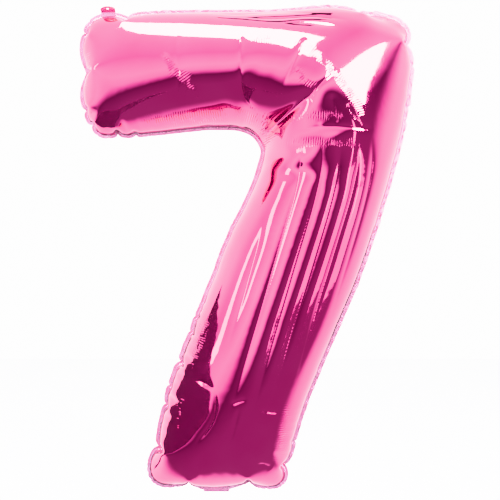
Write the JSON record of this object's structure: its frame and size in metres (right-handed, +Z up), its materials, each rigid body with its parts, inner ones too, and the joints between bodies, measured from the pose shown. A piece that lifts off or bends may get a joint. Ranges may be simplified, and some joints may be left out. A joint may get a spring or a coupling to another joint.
{
  "type": "foil number balloon",
  "caption": "Inflated metallic film balloon shaped as the figure seven, with a welded margin, a folded filling neck with a self-sealing valve, and punched hanging tabs.",
  "frame": {"origin": "middle of the neck's fold line, under the base, in the plane of the weld, where a ribbon is tied", "axes": "+Z up along the figure's height, +X to the figure's right as it is read from the front, +Y to its back"},
  "size_m": [0.5903, 0.275, 0.8612],
  "materials": {
    "foil_panel": "mirror-bright metallised magenta film",
    "margin_film": "two plies of the same film, welded flat and a little hazy",
    "valve_film": "clear polyethylene with a milky print-resist band"
  },
  "bodies": {
    "envelope": {"front_foil_panel": "foil_panel", "back_foil_panel": "foil_panel"},
    "neck": {"neck_front_ply": "foil_panel", "neck_back_ply": "foil_panel", "valve_outer_sleeve": "valve_film"},
    "left_tab": {"hang_tab_left": "margin_film"},
    "right_tab": {"hang_tab_right": "margin_film"},
    "valve_front": {"valve_front_flap": "valve_film"},
    "valve_back": {"valve_back_flap": "valve_film"}
  },
  "joints": [
    {"name": "neck_fold", "type": "hinge", "parent": "envelope", "child": "neck", "pos_m": [0, 0, 0], "axis": [-1, 0, 0], "range_deg": [0, 180]},
    {"name": "left_tab_fold", "type": "hinge", "parent": "envelope", "child": "left_tab", "pos_m": [-0.19219, 0, 0.85327], "axis": [-0.9997, 0, -0.0262], "range_deg": [-28, 165]},
    {"name": "right_tab_fold", "type": "hinge", "parent": "envelope", "child": "right_tab", "pos_m": [0.29339, 0, 0.8501], "axis": [0.956, 0, -0.2935], "range_deg": [-28, 165]},
    {"name": "valve_front_open", "type": "hinge", "parent": "envelope", "child": "valve_front", "pos_m": [0, -0.0001, 0.0088], "axis": [1, 0, 0], "range_deg": [0, 6], "stiffness_Nm_per_rad": 0.0003},
    {"name": "valve_back_open", "type": "hinge", "parent": "envelope", "child": "valve_back", "pos_m": [0, 0.0001, 0.0088], "axis": [-1, 0, 0], "range_deg": [0, 6], "stiffness_Nm_per_rad": 0.0003}
  ],
  "couplings": [
    {"joint": "valve_back_open", "follows": "valve_front_open", "ratio": 1}
  ]
}
